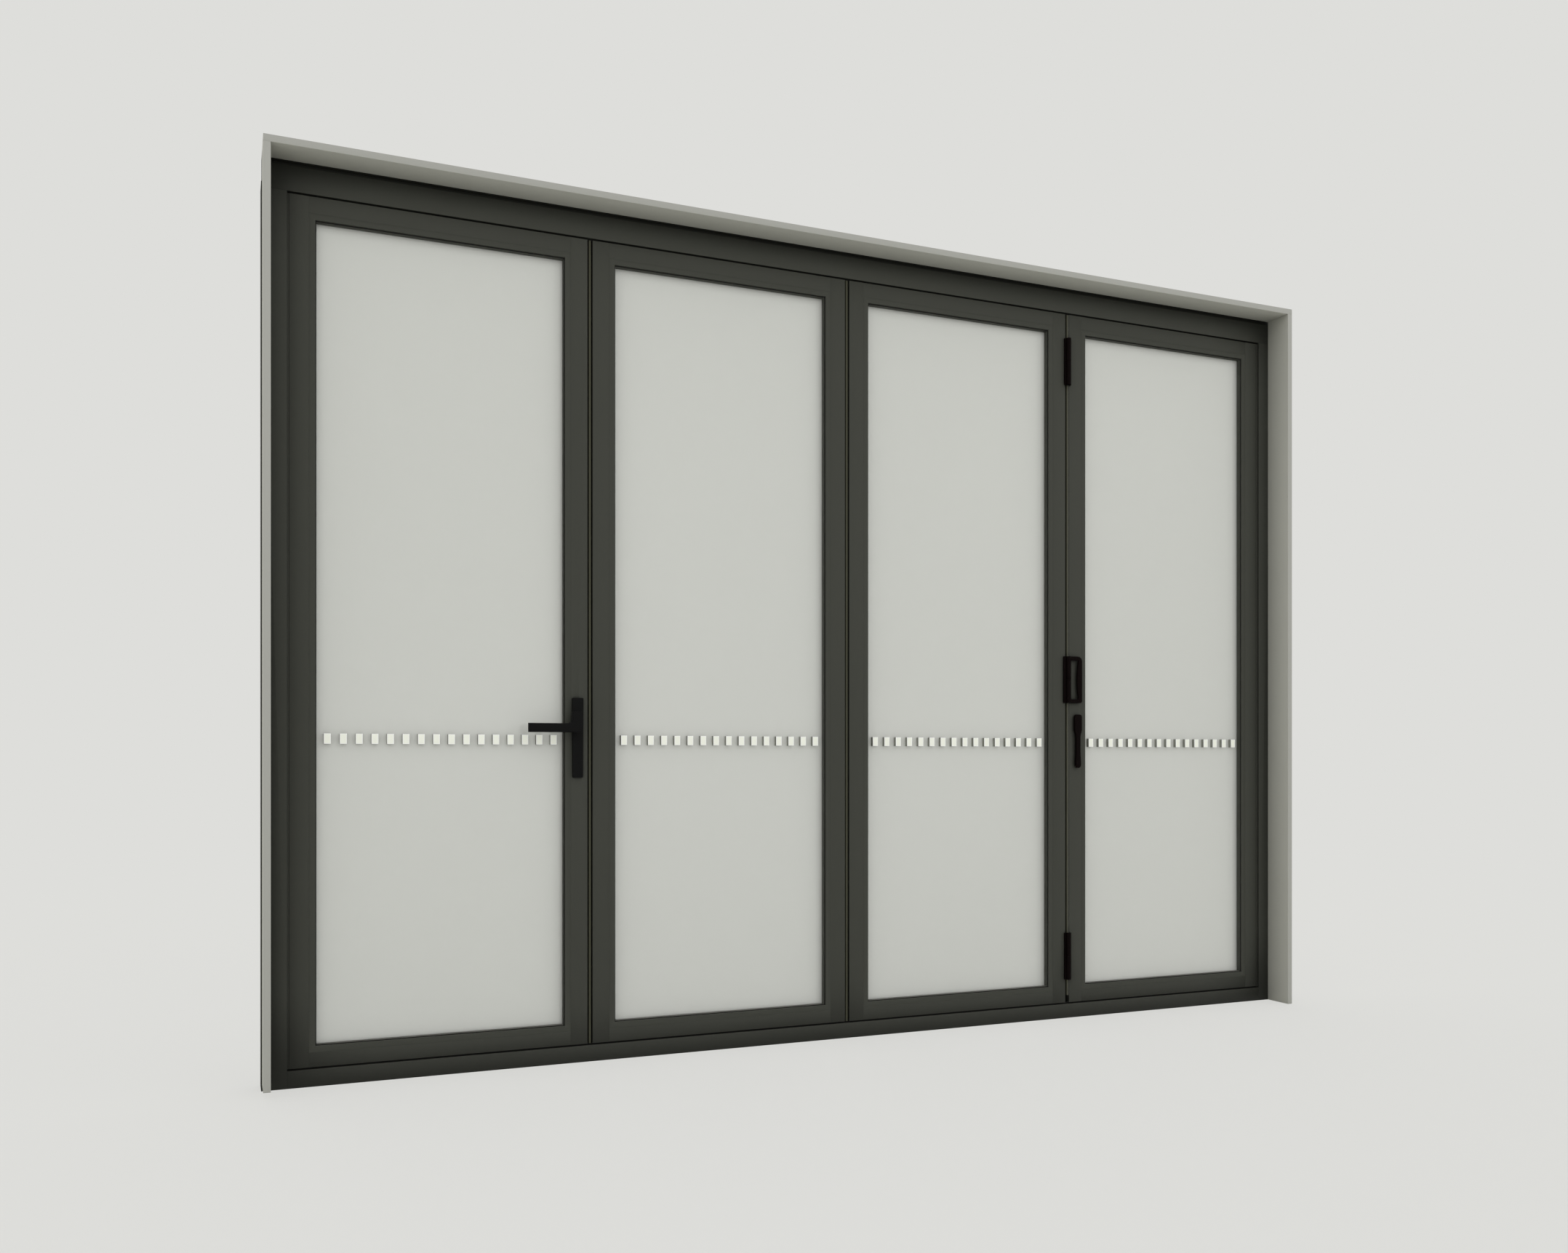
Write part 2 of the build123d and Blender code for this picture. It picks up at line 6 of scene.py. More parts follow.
import bmesh
import bpy
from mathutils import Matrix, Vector

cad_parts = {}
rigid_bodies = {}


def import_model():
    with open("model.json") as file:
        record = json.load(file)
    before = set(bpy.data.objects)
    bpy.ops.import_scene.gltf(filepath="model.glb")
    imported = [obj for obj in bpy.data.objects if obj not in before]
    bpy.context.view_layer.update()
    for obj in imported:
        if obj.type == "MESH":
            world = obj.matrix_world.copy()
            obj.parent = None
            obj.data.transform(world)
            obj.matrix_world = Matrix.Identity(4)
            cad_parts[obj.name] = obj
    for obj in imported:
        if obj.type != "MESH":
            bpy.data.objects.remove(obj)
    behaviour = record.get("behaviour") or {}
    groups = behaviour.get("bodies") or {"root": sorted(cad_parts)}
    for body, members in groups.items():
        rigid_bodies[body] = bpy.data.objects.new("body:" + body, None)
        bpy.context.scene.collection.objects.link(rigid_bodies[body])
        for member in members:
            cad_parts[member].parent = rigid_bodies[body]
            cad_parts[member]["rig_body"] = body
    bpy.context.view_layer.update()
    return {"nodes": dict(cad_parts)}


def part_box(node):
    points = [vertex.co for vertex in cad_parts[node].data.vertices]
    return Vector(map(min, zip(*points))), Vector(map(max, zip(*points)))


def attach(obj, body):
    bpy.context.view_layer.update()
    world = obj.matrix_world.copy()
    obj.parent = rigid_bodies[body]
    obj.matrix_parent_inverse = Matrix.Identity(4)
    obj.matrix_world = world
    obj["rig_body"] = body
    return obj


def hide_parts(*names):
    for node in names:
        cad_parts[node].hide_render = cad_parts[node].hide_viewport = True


bl_info = {
    "name": "Bifold Patio Door Dressing",
    "version": (1, 0, 0),
    "blender": (4, 5, 0),
    "location": "View3D > Sidebar > Patio Door",
    "description": "Finishes and small fittings for a bifold glass patio door",
    "category": "Object",
}

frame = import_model()

MM = 0.001
LEAVES = range(1, 5)
MERGE = 0.001 * MM  # corners this close are one corner
FLAT_ANGLE = math.radians(1.0)  # faces this near to level are one face
FACING = 0.9  # a face looks along an axis when its normal's share is more than this
PAINTED_SHADE_TONE = 0.4  # painted shade: the colour in corners and recesses, as a share of the base colour
PEEL_STRENGTH = 0.12  # how strongly the fine grain bends the light
PEEL_DEPTH = 0.3 * MM  # depth of the fine grain
DUST_DULLING = 0.3  # roughness that full dust adds
GLASS_IOR = 1.45  # refraction of the glass
GLASS_POLISH = 0.02  # roughness of clean glass
GLASS_FILM = 0.06  # roughness that the film on the glass adds
SOFT_EDGE = 0.3  # a rubber edge's radius, as a share of the strip's thinner side
FLOOR_ROUGHNESS = 0.9
SKY_COLOUR = (1.0, 1.0, 0.995, 1)


def linear(red, green, blue):
    """A colour given as 0 to 255 on screen, as the linear values that materials use."""
    shares = [value / 255 for value in (red, green, blue)]
    return tuple(s / 12.92 if s <= 0.04045 else ((s + 0.055) / 1.055) ** 2.4 for s in shares)


def length(label, description, default, **limits):
    """A length property, kept in metres."""
    return bpy.props.FloatProperty(
        name=label, description=description, default=default, unit="LENGTH", precision=4, **limits
    )


def colour(label, description, red, green, blue):
    """A colour property."""
    return bpy.props.FloatVectorProperty(
        name=label, description=description, default=linear(red, green, blue),
        subtype="COLOR", size=3, min=0.0, max=1.0,
    )


def share(label, description, default):
    """A share property, from nothing to all."""
    return bpy.props.FloatProperty(name=label, description=description, default=default, min=0.0, max=1.0)


class DoorSizes(bpy.types.PropertyGroup):
    """Sizes of the trim and fittings that a user would change."""

    profile_ease: length("Profile edge", "Radius on the edges of the extrusions", 0.2 * MM, min=0.0)
    board_ease: length("Board edge", "Radius on the edges of the lining boards", 0.4 * MM, min=0.0)
    handle_ease: length("Handle edge", "Radius on the edges of the handles", 1.4 * MM, min=0.0)
    hinge_ease: length("Hinge edge", "Radius on the edges of the hinges", 0.6 * MM, min=0.0)
    marker_ease: length("Marker edge", "Radius on the edges of a marker", 0.5 * MM, min=0.0)
    # The rim is a band of painted highlight round a tab's face.
    marker_rim: length("Marker highlight rim", "Width of the painted highlight round a marker's face", 1.7 * MM, min=0.0)
    gasket_width: length("Gasket width", "Width of the dark line round the glass", 2.6 * MM, min=0.0)
    gasket_rise: length("Gasket rise", "Thickness of the gasket in the bead's step", 1.2 * MM, min=0.0)
    bead_width: length("Bead width", "Width of a glazing bead", 18.3 * MM, min=0.0)
    bead_fit: length("Bead fit", "How far a bead closes its clip gap", 0.25 * MM, min=0.0)
    bead_step: length("Bead step", "Depth of the step in the bead's front corner", 6.0 * MM, min=0.0)
    strip_width: length("Strip width", "Width of the seal strip between two leaves", 6.5 * MM, min=0.0)
    strip_depth: length("Strip depth", "Depth of the seal strip in front of its web", 16.0 * MM, min=0.0)
    strip_ease: length("Strip edge", "Radius on the edges of the seal strips", 0.7 * MM, min=0.0)
    fold_shift: length("Fold strip shift", "Extra slot beside the strip at the fold", 3.0 * MM, min=0.0)
    # The light strip beside the fold's seal is a painted highlight.
    edge_strip_width: length("Edge strip width", "Width of the light strip by the fold's seal", 2.6 * MM, min=0.0)
    lip_recess: length("Lip recess", "How far the side lips stand back from the leaves", 0.8 * MM, min=0.0)
    lip_thickness: length("Lip thickness", "Thickness of the soft lips behind the strips", 2.0 * MM, min=0.0)
    lip_drop: length("Lip drop", "How far the soft lips hang below the leaves", 4.0 * MM, min=0.0)
    lip_depth: length("Lip depth", "Depth of the side lips", 5.0 * MM, min=0.0)
    # The black line under the head board is painted shade: a dark strip where the soffit meets the head and
    # shade falls.
    shade_line_width: length("Shade line width", "Height of the black painted shade line under the head board", 1.4 * MM, min=0.0)
    shade_line_end: length("Shade line end", "How far the shade line stops short of the right board", 12.0 * MM, min=0.0)
    shade_line_depth: length("Shade line depth", "How far the black shade line stands off the head", 2.0 * MM, min=0.0)
    cover_reach: length("Hinge cover reach", "How far the cover stands out past the flag", 3.5 * MM, min=0.0)
    cover_depth: length("Hinge cover depth", "Thickness of the pull hinge's cover", 6.5 * MM, min=0.0)
    pane_ease: length("Pane edge", "Width of the ground edges of a pane", 0.5 * MM, min=0.0)
    seal_clearance: length("Seal clearance", "Room between a seal and a leaf's edge", 0.3 * MM, min=0.0)


class DoorColours(bpy.types.PropertyGroup):
    """Colours of the finishes."""

    coating: colour("Coating", "Powder coat on the extrusions", 67, 68, 62)
    # The boards' inner faces, which lie in shade, take a lighter colour than the lit room-side fronts:
    # painted light that evens out the reveal's shade.
    lining: colour("Lining", "Paint on the faces of the lining boards", 182, 182, 173)
    lining_lit_front: colour("Lining lit front", "Lit room-side edges of the boards, painted darker than the shaded inner faces", 170, 170, 164)
    glass: colour("Inner glass", "Tint of the room-side panes", 220, 221, 217)
    outer_glass: colour("Outer glass", "Tint of the outdoor panes", 236, 237, 232)
    clearness: share("Clearness", "Share of the glass that is clear, the rest being milky", 0.45)
    inner_shade: share("Inner shade", "Light that a room-side pane lets through", 0.95)
    outer_shade: share("Outer shade", "Light that an outdoor pane lets through", 0.9)
    spacer: colour("Spacer", "Bar between the panes", 172, 173, 167)
    marker: colour("Marker", "Face of the raised tabs on the glass", 246, 248, 236)
    # The rim's near-white is a painted highlight round each tab's face, and the side's grey is painted
    # shade.
    marker_rim: colour("Marker highlight rim", "Painted highlight round a tab's face", 255, 255, 253)
    marker_side: colour("Marker side shade", "Painted shade on a tab's sides", 130, 132, 122)
    seal: colour("Seal", "Rubber strips between the leaves", 73, 73, 60)
    # The light grey beside the fold's seal is a painted highlight.
    fold_highlight: colour("Fold highlight", "Light strip beside the seal at the fold, a painted highlight", 120, 120, 113)
    gasket_and_shade: colour("Gasket", "Rubber line round the glass", 30, 30, 28)
    lever: colour("Lever", "Coat on the lever set", 22, 22, 22)
    hinge: colour("Hinge", "Coat on the hinges and the stack's handles", 15, 9, 9)
    zinc: colour("Zinc", "Plated steel of the carriage and spindle", 178, 180, 182)
    dust: colour("Dust", "Fine dust on upward faces", 168, 165, 156)


class StageSettings(bpy.types.PropertyGroup):
    """The camera, the floor and the light."""

    camera_x: length("Camera X", "Camera's place along the door", -1.7615)
    camera_y: length("Camera Y", "Camera's place in front of the door", -3.6857)
    camera_height: length("Camera height", "Camera's height over the floor", 0.8555)
    camera_turn: bpy.props.FloatProperty(
        name="Camera turn", description="Turn of the camera to the right of straight ahead",
        default=math.radians(22.987), subtype="ANGLE",
    )
    lens: bpy.props.FloatProperty(
        name="Lens", description="Focal length in millimetres", default=30.391, unit="CAMERA",
    )
    rise: bpy.props.FloatProperty(
        name="Rise", description="Upward shift of the lens, as a share of the width", default=0.0839,
    )
    floor_size: length("Floor size", "Length of the floor's sides", 60.0)
    backdrop: colour("Backdrop", "Colour behind the object", 222, 222, 219)
    floor: colour("Floor", "Colour of the floor", 226, 226, 222)
    fade_start: length("Fade start", "Distance at which the floor starts to fade into the backdrop", 3.0)
    fade_end: length("Fade end", "Distance at which the floor is the backdrop's colour", 9.0)
    sky: share("Sky", "Strength of the even light from all round", 0.93)
    lamp_strength: bpy.props.FloatProperty(
        name="Lamp strength", description="Strength of each broad soft lamp", default=0.3, min=0.0,
    )
    lamp_spread: bpy.props.FloatProperty(
        name="Lamp spread", description="How wide a soft lamp looks from the object",
        default=math.radians(70), subtype="ANGLE",
    )
    floor_glow: share("Floor glow", "Share of the backdrop's own colour in the near floor", 0.79)
    lamp_direction: bpy.props.FloatVectorProperty(
        name="Lamp direction",
        description="Way that the room lamp's light travels; the outdoor lamp's comes the other way",
        default=(-0.45, 1.0, -0.2), subtype="DIRECTION",
    )
    sensor: bpy.props.FloatProperty(
        name="Sensor width", description="Width of the camera's sensor in millimetres", default=36.0,
    )
    view_end: length("View end", "Distance up to which the camera sees", 200.0)


# Shared effects, as shader node groups

def new_group(name, inputs, outputs):
    """Starts a node group with named sockets; returns it with its input and output nodes."""
    group = bpy.data.node_groups.new(name, "ShaderNodeTree")
    for label, kind, default in inputs:
        socket = group.interface.new_socket(label, in_out="INPUT", socket_type=kind)
        socket.default_value = default
    for label, kind in outputs:
        group.interface.new_socket(label, in_out="OUTPUT", socket_type=kind)
    return group, group.nodes.new("NodeGroupInput"), group.nodes.new("NodeGroupOutput")


def add_node(tree, kind, settings=None, **inputs):
    """Adds a node; each input is a value, or a socket to link from."""
    node = tree.nodes.new(kind)
    for key, value in (settings or {}).items():
        setattr(node, key, value)
    for label, value in inputs.items():
        connect(tree, value, node.inputs[label.replace("_", " ")])
    return node


def connect(tree, value, socket):
    """Links a socket, or sets a plain value."""
    if isinstance(value, bpy.types.NodeSocket):
        tree.links.new(value, socket)
    else:
        socket.default_value = value


def math_node(tree, operation, first, second=0.5, clamp=False):
    """One sum on two values."""
    node = tree.nodes.new("ShaderNodeMath")
    node.operation = operation
    node.use_clamp = clamp
    connect(tree, first, node.inputs[0])
    connect(tree, second, node.inputs[1])
    return node.outputs[0]


def mix_colours(tree, mask, first, second):
    """Mixes two colours by a mask."""
    node = tree.nodes.new("ShaderNodeMix")
    node.data_type = "RGBA"
    sockets = {socket.identifier: socket for socket in node.inputs}
    connect(tree, mask, sockets["Factor_Float"])
    connect(tree, first, sockets["A_Color"])
    connect(tree, second, sockets["B_Color"])
    return next(socket for socket in node.outputs if socket.identifier == "Result_Color")


def object_noise(tree, scale, detail=3.0, roughness=0.5):
    """Noise on object coordinates."""
    place = tree.nodes.new("ShaderNodeTexCoord")
    noise = tree.nodes.new("ShaderNodeTexNoise")
    tree.links.new(place.outputs["Object"], noise.inputs["Vector"])
    connect(tree, scale, noise.inputs["Scale"])
    noise.inputs["Detail"].default_value = detail
    noise.inputs["Roughness"].default_value = roughness
    return noise.outputs["Fac"]


def cloud_group():
    """A colour that drifts a little lighter and darker over the surface."""
    group, source, target = new_group(
        "Cloudy Tone",
        [("Color", "NodeSocketColor", (0.5, 0.5, 0.5, 1)), ("Scale", "NodeSocketFloat", 2.0),
         ("Amount", "NodeSocketFloat", 0.1)],
        [("Color", "NodeSocketColor")],
    )
    noise = object_noise(group, source.outputs["Scale"])
    centred = math_node(group, "SUBTRACT", noise, 0.5)
    drift = math_node(group, "MULTIPLY", centred, source.outputs["Amount"])
    factor = math_node(group, "ADD", drift, 1.0)
    scaled = add_node(group, "ShaderNodeVectorMath", {"operation": "SCALE"}, Scale=factor)
    group.links.new(source.outputs["Color"], scaled.inputs[0])
    group.links.new(scaled.outputs[0], target.inputs["Color"])
    return group


def edge_group():
    """Rounded shading at edges, and a broken mask of the lighter edges: in part rubbed coat, in part a
    painted highlight.
    """
    group, source, target = new_group(
        "Rubbed And Highlit Edges",
        [("Radius", "NodeSocketFloat", 0.001), ("Amount", "NodeSocketFloat", 0.5),
         ("Break Scale", "NodeSocketFloat", 60.0)],
        [("Mask", "NodeSocketFloat"), ("Normal", "NodeSocketVector")],
    )
    bevel = add_node(group, "ShaderNodeBevel", {"samples": 4}, Radius=source.outputs["Radius"])
    geometry = group.nodes.new("ShaderNodeNewGeometry")
    facing = add_node(group, "ShaderNodeVectorMath", {"operation": "DOT_PRODUCT"})
    group.links.new(bevel.outputs["Normal"], facing.inputs[0])
    group.links.new(geometry.outputs["Normal"], facing.inputs[1])
    turned = math_node(group, "SUBTRACT", 1.0, facing.outputs["Value"])
    steep = math_node(group, "MULTIPLY", turned, 6.0, clamp=True)
    breaks = math_node(group, "SUBTRACT", object_noise(group, source.outputs["Break Scale"]), 0.35)
    patches = math_node(group, "MULTIPLY", breaks, 3.0, clamp=True)
    worn_and_highlit = math_node(group, "MULTIPLY", steep, patches)
    mask = math_node(group, "MULTIPLY", worn_and_highlit, source.outputs["Amount"], clamp=True)
    group.links.new(mask, target.inputs["Mask"])
    group.links.new(bevel.outputs["Normal"], target.inputs["Normal"])
    return group


def grain_group():
    """The fine orange-peel of a sprayed or moulded surface."""
    group, source, target = new_group(
        "Fine Grain",
        [("Scale", "NodeSocketFloat", 900.0), ("Depth", "NodeSocketFloat", 0.5)],
        [("Height", "NodeSocketFloat"), ("Speckle", "NodeSocketFloat")],
    )
    noise = object_noise(group, source.outputs["Scale"], detail=2.0)
    height = math_node(group, "MULTIPLY", noise, source.outputs["Depth"])
    group.links.new(height, target.inputs["Height"])
    group.links.new(noise, target.inputs["Speckle"])
    return group


def dust_group():
    """A mask of fine dust on faces that look up."""
    group, source, target = new_group(
        "Settled Dust",
        [("Amount", "NodeSocketFloat", 0.3), ("Scale", "NodeSocketFloat", 8.0)],
        [("Mask", "NodeSocketFloat")],
    )
    geometry = group.nodes.new("ShaderNodeNewGeometry")
    split = group.nodes.new("ShaderNodeSeparateXYZ")
    group.links.new(geometry.outputs["Normal"], split.inputs[0])
    up = math_node(group, "SUBTRACT", split.outputs["Z"], 0.4)
    level = math_node(group, "MULTIPLY", up, 1.6, clamp=True)
    patchy = math_node(group, "MULTIPLY", level, object_noise(group, source.outputs["Scale"], 5.0))
    mask = math_node(group, "MULTIPLY", patchy, source.outputs["Amount"], clamp=True)
    group.links.new(mask, target.inputs["Mask"])
    return group


def painted_shade_group():
    """A painted-shade mask: ambient occlusion darkens inner corners and recesses, as the shade that falls
    there.
    """
    group, source, target = new_group(
        "Painted Corner Shade",
        [("Reach", "NodeSocketFloat", 0.03), ("Amount", "NodeSocketFloat", 1.0)],
        [("Mask", "NodeSocketFloat")],
    )
    shade = add_node(group, "ShaderNodeAmbientOcclusion", {"samples": 6}, Distance=source.outputs["Reach"])
    hidden = math_node(group, "POWER", math_node(group, "SUBTRACT", 1.0, shade.outputs["AO"]), 3.0)
    mask = math_node(group, "MULTIPLY", hidden, source.outputs["Amount"], clamp=True)
    group.links.new(mask, target.inputs["Mask"])
    return group


EFFECTS = {}


def effect(tree, name, **inputs):
    """Places a shared effect in a material with its own values."""
    makers = {"cloud": cloud_group, "edge": edge_group, "grain": grain_group, "dust": dust_group,
              "painted_shade": painted_shade_group}
    if name not in EFFECTS:
        EFFECTS[name] = makers[name]()
    node = tree.nodes.new("ShaderNodeGroup")
    node.node_tree = EFFECTS[name]
    for label, value in inputs.items():
        connect(tree, value, node.inputs[label.replace("_", " ")])
    return node


# Materials

def opaque(values):
    """A colour with full alpha."""
    return (*values, 1.0)


def finish(name, base, rubbed_and_highlit, roughness, spread, cloud=(2.0, 0.12), edge=(0.8, 0.3), grain=(900, 0.4),
           dust=0.25, painted_shade=(0.04, 0.8), metallic=0.0, specular=0.5):
    """A solid finish: drifting tone, edges lighter as rubbed wear and painted highlight, dust on top,
    painted shade in corners, grain and uneven gloss.
    """
    material = bpy.data.materials.get(name)
    if material:
        return material
    colours = bpy.context.scene.door_colours
    material = bpy.data.materials.new(name)
    material.use_nodes = True
    tree = material.node_tree
    shader = tree.nodes["Principled BSDF"]
    tone = effect(tree, "cloud", Color=opaque(base), Scale=cloud[0], Amount=cloud[1])
    edges = effect(tree, "edge", Radius=edge[0] * MM, Amount=edge[1])
    peel = effect(tree, "grain", Scale=float(grain[0]), Depth=grain[1])
    film = effect(tree, "dust", Amount=dust)
    # lighter edges: partly rubbed wear, partly a painted highlight
    worn_and_highlit = mix_colours(tree, edges.outputs["Mask"], tone.outputs["Color"], opaque(rubbed_and_highlit))
    dusty = mix_colours(tree, film.outputs["Mask"], worn_and_highlit, opaque(colours.dust))
    # painted shade: the colour darkens in corners and recesses that ambient occlusion finds
    painted_shades = effect(tree, "painted_shade", Reach=painted_shade[0], Amount=painted_shade[1])
    dark = opaque(tuple(value * PAINTED_SHADE_TONE for value in base))
    tree.links.new(mix_colours(tree, painted_shades.outputs["Mask"], dusty, dark), shader.inputs["Base Color"])
    gloss = math_node(tree, "MULTIPLY", peel.outputs["Speckle"], spread)
    base_gloss = math_node(tree, "ADD", gloss, roughness - spread / 2)
    dull = math_node(tree, "MULTIPLY", film.outputs["Mask"], DUST_DULLING)
    tree.links.new(math_node(tree, "ADD", base_gloss, dull, clamp=True), shader.inputs["Roughness"])
    bump = add_node(tree, "ShaderNodeBump", Height=peel.outputs["Height"], Normal=edges.outputs["Normal"])
    bump.inputs["Strength"].default_value = PEEL_STRENGTH
    bump.inputs["Distance"].default_value = PEEL_DEPTH
    tree.links.new(bump.outputs["Normal"], shader.inputs["Normal"])
    shader.inputs["Metallic"].default_value = metallic
    shader.inputs["Specular IOR Level"].default_value = specular
    return material


def lighter(values, amount):
    """A colour moved part of the way to white."""
    return tuple(value + (1 - value) * amount for value in values)


def glass_material(name, tint, clearness, shade):
    """Milky glass with a faint film; it lets shadow rays through so that light passes."""
    material = bpy.data.materials.new(name)
    material.use_nodes = True
    tree = material.node_tree
    shader = tree.nodes["Principled BSDF"]
    tone = effect(tree, "cloud", Color=opaque(tint), Scale=1.3, Amount=0.02)
    tree.links.new(tone.outputs["Color"], shader.inputs["Base Color"])
    smears = object_noise(tree, 3.0, detail=6.0)
    film = math_node(tree, "MULTIPLY", smears, GLASS_FILM)
    tree.links.new(math_node(tree, "ADD", film, GLASS_POLISH), shader.inputs["Roughness"])
    shader.inputs["Transmission Weight"].default_value = clearness
    shader.inputs["IOR"].default_value = GLASS_IOR
    path = tree.nodes.new("ShaderNodeLightPath")
    clear = tree.nodes.new("ShaderNodeBsdfTransparent")
    clear.inputs["Color"].default_value = (shade, shade, shade, 1)
    mix = tree.nodes.new("ShaderNodeMixShader")
    output = tree.nodes["Material Output"]
    soft_rays = (path.outputs["Is Shadow Ray"], path.outputs["Is Diffuse Ray"])
    through = math_node(tree, "ADD", *soft_rays, clamp=True)
    tree.links.new(through, mix.inputs["Fac"])
    tree.links.new(shader.outputs["BSDF"], mix.inputs[1])
    tree.links.new(clear.outputs["BSDF"], mix.inputs[2])
    tree.links.new(mix.outputs["Shader"], output.inputs["Surface"])
    return material


def wear_material(piece, material):
    """Gives a piece one material."""
    piece.data.materials.clear()
    piece.data.materials.append(material)


def coating(name="powder_coat", painted_shade=(0.25, 8.0)):
    """Satin powder coat on aluminium, with strong painted shade in its corners."""
    base = bpy.context.scene.door_colours.coating
    return finish(name, base, lighter(base, 0.08), roughness=0.5, spread=0.08, cloud=(1.5, 0.1),
                  painted_shade=painted_shade, specular=0.12)


def lining_paint(name, base):
    """Matt paint on a board, its edges lighter as a painted highlight and its corners darker as painted
    shade.
    """
    return finish(name, base, lighter(base, 0.3), roughness=0.62, spread=0.1, cloud=(1.1, 0.05),
                  grain=(500, 0.6), painted_shade=(0.06, 0.3), specular=0.25)


def fold_highlight_finish():
    """A light grey finish for the strip beside the fold's seal, which is a painted highlight."""
    base = bpy.context.scene.door_colours.fold_highlight
    return finish("fold_highlight_finish", base, lighter(base, 0.1), roughness=0.5, spread=0.08,
                  cloud=(5.0, 0.1), specular=0.12)


def lever_coat():
    """Matt black coat on the lever set."""
    base = bpy.context.scene.door_colours.lever
    return finish("lever_coat", base, lighter(base, 0.02), roughness=0.55, spread=0.08, edge=(0.8, 0.3),
                  dust=0.01, specular=0.04)


def hinge_coat():
    """Brown-black coat on the hinges and the stack's handles."""
    base = bpy.context.scene.door_colours.hinge
    return finish("hinge_coat", base, lighter(base, 0.02), roughness=0.55, spread=0.08, edge=(0.6, 0.3),
                  dust=0.01, painted_shade=(0.01, 0.1), specular=0.03)


def rubber(name, base):
    """Dull rubber."""
    return finish(name, base, lighter(base, 0.1), roughness=0.75, spread=0.1, cloud=(6.0, 0.15),
                  grain=(1400, 0.8), dust=0.15, specular=0.15)


def zinc():
    """Plated steel."""
    base = bpy.context.scene.door_colours.zinc
    return finish("zinc_plate", base, lighter(base, 0.2), roughness=0.35, spread=0.12,
                  cloud=(20.0, 0.2), metallic=1.0)


def marker_plastic(name, base):
    """Matt moulded plastic, its edges much lighter as a painted highlight."""
    return finish(name, base, lighter(base, 0.5), roughness=0.55, spread=0.08, cloud=(40.0, 0.03),
                  edge=(0.3, 0.1), grain=(1200, 0.4), dust=0.05, painted_shade=(0.01, 0.2))


def spacer_metal():
    """Dull mill-finish aluminium."""
    base = bpy.context.scene.door_colours.spacer
    return finish("spacer_metal", base, lighter(base, 0.2), roughness=0.5, spread=0.1,
                  cloud=(12.0, 0.08), metallic=0.3)


# Modelling helpers

def select_only(piece):
    """Makes one piece the selected and active one."""
    if bpy.context.object and bpy.context.object.mode != "OBJECT":
        bpy.ops.object.mode_set(mode="OBJECT")
    bpy.ops.object.select_all(action="DESELECT")
    piece.select_set(True)
    bpy.context.view_layer.objects.active = piece


def settle(piece):
    """Puts a finished piece's place into its mesh, so that its object sits at the origin."""
    select_only(piece)
    bpy.ops.object.transform_apply(location=True, rotation=True, scale=True)


def add_block(name, low, high):
    """A box between two corners, as a new object."""
    bpy.ops.object.select_all(action="DESELECT")
    middle = (Vector(low) + Vector(high)) / 2
    bpy.ops.mesh.primitive_cube_add(size=1, location=middle)
    piece = bpy.context.object
    piece.name = name
    piece.scale = Vector(high) - Vector(low)
    settle(piece)
    return piece


def apply_bevel(piece, width, segments=2, angle=30.0, smooth=True):
    """Rounds the sharp edges and shades the result smooth."""
    select_only(piece)
    bevel = piece.modifiers.new("ease", "BEVEL")
    bevel.width = width
    bevel.segments = segments
    bevel.limit_method = "ANGLE"
    bevel.angle_limit = math.radians(angle)
    bpy.ops.object.modifier_apply(modifier=bevel.name)
    if smooth:
        bpy.ops.object.shade_smooth_by_angle(angle=math.radians(angle))


def join_pieces(pieces, name):
    """Joins pieces into one mesh."""
    bpy.ops.object.select_all(action="DESELECT")
    for piece in pieces:
        piece.select_set(True)
    bpy.context.view_layer.objects.active = pieces[0]
    if len(pieces) > 1:
        bpy.ops.object.join()
    pieces[0].name = name
    pieces[0].data.name = name
    return pieces[0]


def copy_to(piece, offset):
    """A copy of a piece with a mesh of its own, moved by an offset."""
    select_only(piece)
    bpy.ops.object.duplicate()
    twin = bpy.context.object
    twin.location = Vector(offset)
    settle(twin)
    return twin


def pick_faces(piece, test):
    """Selects, in edit mode, the faces that pass a test."""
    mesh = bmesh.from_edit_mesh(piece.data)
    mesh.select_mode = {"FACE"}
    for face in mesh.faces:
        face.select_set(bool(test(face)))
    mesh.select_flush_mode()
    bmesh.update_edit_mesh(piece.data)


def assign_faces(piece, slot, test):
    """Gives the faces that pass a test the material in a slot."""
    select_only(piece)
    bpy.ops.object.mode_set(mode="EDIT")
    bpy.ops.mesh.select_mode(type="FACE")
    pick_faces(piece, test)
    piece.active_material_index = slot
    bpy.ops.object.material_slot_assign()
    bpy.ops.object.mode_set(mode="OBJECT")


def loose_boxes(node):
    """The lowest and highest corner of each loose piece in a node's mesh, from left to right."""
    mesh = bmesh.new()
    mesh.from_mesh(frame["nodes"][node].data)
    bmesh.ops.remove_doubles(mesh, verts=mesh.verts, dist=MERGE)
    left = set(mesh.verts)
    found = []
    while left:
        island = [left.pop()]
        corners = [island[0].co.copy()]
        while island:
            vert = island.pop()
            for edge in vert.link_edges:
                other = edge.other_vert(vert)
                if other in left:
                    left.remove(other)
                    island.append(other)
                    corners.append(other.co.copy())
        low = Vector([min(corner[axis] for corner in corners) for axis in range(3)])
        high = Vector([max(corner[axis] for corner in corners) for axis in range(3)])
        found.append((low, high))
    mesh.free()
    return sorted(found, key=lambda pair: pair[0].x)


def body_of_node(node):
    """The body that a CAD node rides on."""
    return frame["nodes"][node]["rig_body"]


